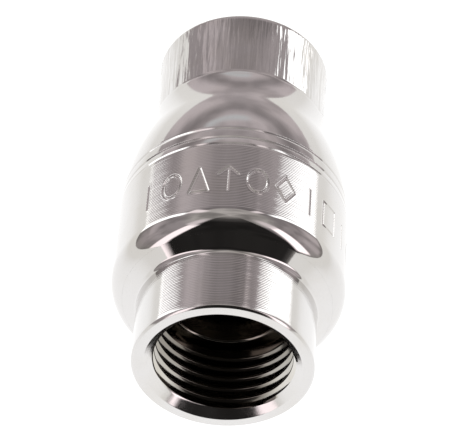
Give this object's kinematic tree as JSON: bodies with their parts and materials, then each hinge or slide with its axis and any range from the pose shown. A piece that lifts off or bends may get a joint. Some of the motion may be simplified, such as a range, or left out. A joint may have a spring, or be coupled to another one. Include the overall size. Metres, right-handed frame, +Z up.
{
  "type": "inline check valve",
  "caption": "Inline spring check valve: a bright turned body with a bulged middle and a screwed-in end cap, internal pipe threads at both ends, and a guided spring poppet inside.",
  "frame": {"origin": "On the flow axis at half the overall length, which is also the centre of the bounding box.", "axes": "+Y is the flow direction, from the inlet end cap to the outlet socket. +Z is up with the valve lying on its side and +X is to the right seen from the inlet."},
  "size_m": [0.032, 0.0564, 0.032],
  "materials": {
    "nickel_plate": "bright nickel plate over turned brass, with fine turning and polishing lines",
    "bare_brass": "turned, unplated",
    "stainless": "turned and lightly polished",
    "spring_steel": "drawn wire and stamped strip, satin",
    "black_rubber": "moulded, matte",
    "white_plastic": "turned fluoropolymer, waxy"
  },
  "bodies": {
    "housing": {"valve_body": "nickel_plate", "inlet_end_cap": "nickel_plate", "body_o_ring": "black_rubber", "guide_spider": "bare_brass", "guide_bush": "white_plastic", "retaining_ring": "spring_steel", "spring_washer": "stainless", "spring": "spring_steel"},
    "poppet": {"poppet_stem": "stainless", "poppet_plate": "bare_brass", "seal_washer": "black_rubber", "seal_retainer": "bare_brass", "lock_washer": "stainless", "retainer_nut": "stainless", "stop_sleeve": "bare_brass", "stem_clip": "spring_steel"}
  },
  "joints": [
    {"name": "poppet_lift", "type": "slide", "parent": "housing", "child": "poppet", "axis": [0, 1, 0], "range_m": [0, 0.0049], "stiffness_N_per_m": 200, "springref_m": -0.0055, "deforming": ["spring"]}
  ]
}
